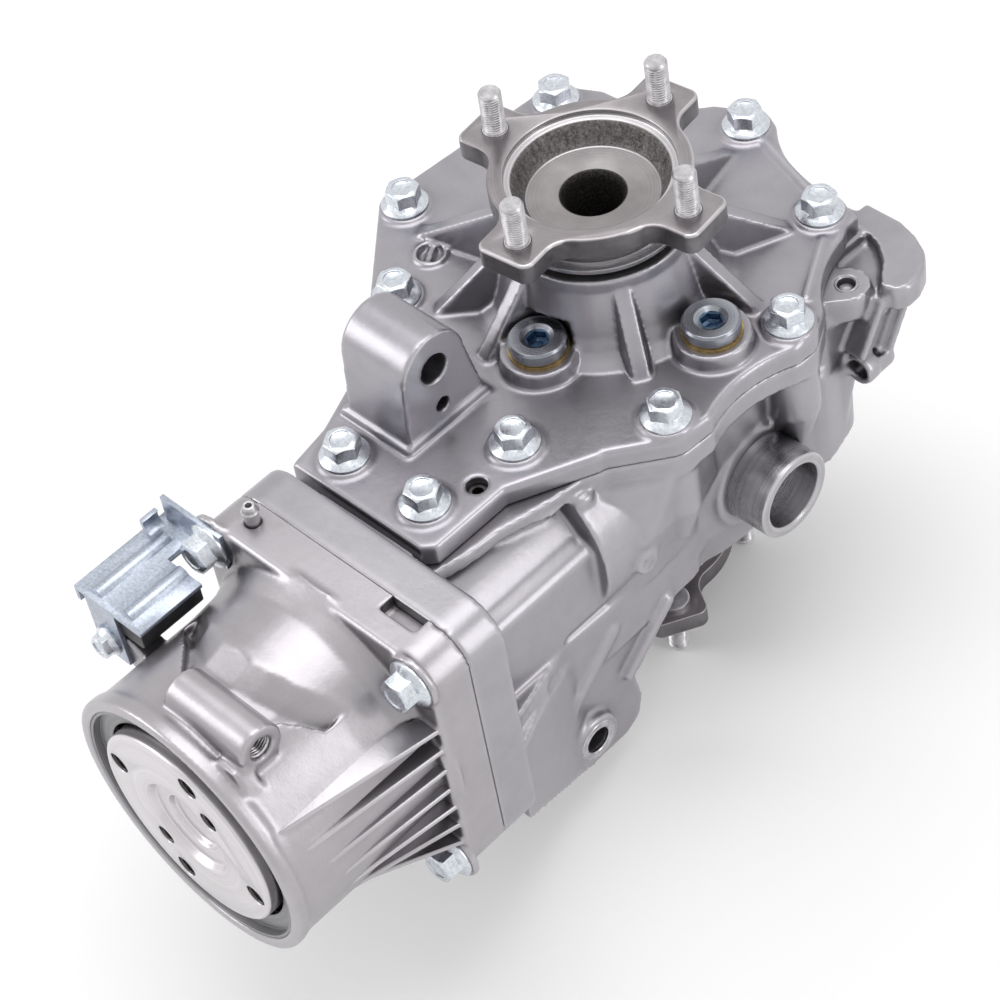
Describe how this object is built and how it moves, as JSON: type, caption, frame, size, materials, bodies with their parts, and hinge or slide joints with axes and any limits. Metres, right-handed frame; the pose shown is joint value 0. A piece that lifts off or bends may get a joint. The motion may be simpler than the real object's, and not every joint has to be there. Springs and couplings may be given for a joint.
{
  "type": "viscous coupling",
  "caption": "Rear final drive with a viscous coupling in a finned drum housing, an input flange and two output flanges with studs.",
  "frame": {"origin": "on the output (differential) axis, at the height of the input axis", "axes": "+Z along the output axis towards the side cover, -Y towards the input flange, +X towards the mount tube"},
  "size_m": [0.2197, 0.4099, 0.2754],
  "materials": {
    "cast_housing": "die cast, satin",
    "cast_cover": "die cast, satin",
    "cast_carrier": "die cast, satin",
    "machined_steel": "turned",
    "dark_steel": "turned, lightly oiled",
    "gear_steel": "ground",
    "bearing_steel": "polished",
    "zinc_plate": "zinc plated",
    "black_rubber": "satin",
    "black_plastic": "matt",
    "brass_washer": "dull",
    "plate_steel": "stamped"
  },
  "bodies": {
    "housing": {"coupling_housing": "cast_housing", "side_cover": "cast_cover", "differential_carrier": "cast_carrier", "mount_tube": "machined_steel", "cover_bolts": "zinc_plate", "coupling_bolts": "zinc_plate", "fill_plug": "machined_steel", "drain_plug": "machined_steel", "fill_plug_washer": "brass_washer", "drain_plug_washer": "brass_washer", "dowel_pins": "machined_steel", "breather_pipe": "machined_steel", "connector_bracket": "zinc_plate", "harness_connector": "black_plastic", "bracket_screw": "zinc_plate", "dust_ring": "dark_steel", "input_seal": "black_rubber", "input_bearing_outer_ring": "bearing_steel", "pinion_rear_bearing_cup": "bearing_steel", "pinion_front_bearing_cup": "bearing_steel", "pinion_seal": "black_rubber", "upper_side_bearing_cup": "bearing_steel", "lower_side_bearing_cup": "bearing_steel", "upper_output_seal": "black_rubber", "lower_output_seal": "black_rubber"},
    "input_drum": {"input_flange": "machined_steel", "input_bearing_inner_ring": "bearing_steel", "viscous_drum": "plate_steel", "drum_end_cover": "plate_steel", "outer_plates": "plate_steel"},
    "pinion": {"pinion_shaft": "gear_steel", "coupling_hub": "gear_steel", "hub_circlip": "dark_steel", "inner_plates": "plate_steel", "pinion_nut": "dark_steel", "bearing_spacer": "dark_steel", "pinion_rear_bearing_cone": "bearing_steel", "pinion_front_bearing_cone": "bearing_steel"},
    "differential": {"differential_case": "dark_steel", "ring_gear": "gear_steel", "ring_gear_bolts": "dark_steel", "cross_pin": "gear_steel", "spider_washers": "machined_steel", "upper_side_bearing_cone": "bearing_steel", "lower_side_bearing_cone": "bearing_steel"},
    "spider_a": {"spider_gear_a": "gear_steel"},
    "spider_b": {"spider_gear_b": "gear_steel"},
    "upper_output": {"upper_output_flange": "dark_steel", "upper_output_studs": "machined_steel", "upper_side_gear": "gear_steel", "upper_dust_deflector": "machined_steel"},
    "lower_output": {"lower_output_flange": "dark_steel", "lower_output_studs": "machined_steel", "lower_side_gear": "gear_steel", "lower_dust_deflector": "machined_steel"}
  },
  "joints": [
    {"name": "input_spin", "type": "hinge", "parent": "housing", "child": "input_drum", "pos_m": [0.0346, 0, 0], "axis": [0, 1, 0], "continuous": true},
    {"name": "pinion_spin", "type": "hinge", "parent": "housing", "child": "pinion", "pos_m": [0.0346, 0, 0], "axis": [0, 1, 0], "continuous": true},
    {"name": "case_spin", "type": "hinge", "parent": "housing", "child": "differential", "pos_m": [0, 0, 0], "axis": [0, 0, 1], "continuous": true},
    {"name": "spider_a_spin", "type": "hinge", "parent": "differential", "child": "spider_a", "pos_m": [0, 0, 0], "axis": [1, 0, 0], "continuous": true},
    {"name": "spider_b_spin", "type": "hinge", "parent": "differential", "child": "spider_b", "pos_m": [0, 0, 0], "axis": [1, 0, 0], "continuous": true},
    {"name": "upper_side_spin", "type": "hinge", "parent": "differential", "child": "upper_output", "pos_m": [0, 0, 0], "axis": [0, 0, 1], "continuous": true},
    {"name": "lower_side_spin", "type": "hinge", "parent": "differential", "child": "lower_output", "pos_m": [0, 0, 0], "axis": [0, 0, 1], "continuous": true}
  ],
  "couplings": [
    {"joint": "pinion_spin", "follows": "case_spin", "ratio": -3.1667},
    {"joint": "lower_side_spin", "follows": "upper_side_spin", "ratio": -1},
    {"joint": "spider_a_spin", "follows": "upper_side_spin", "ratio": -1.4},
    {"joint": "spider_b_spin", "follows": "upper_side_spin", "ratio": 1.4}
  ]
}
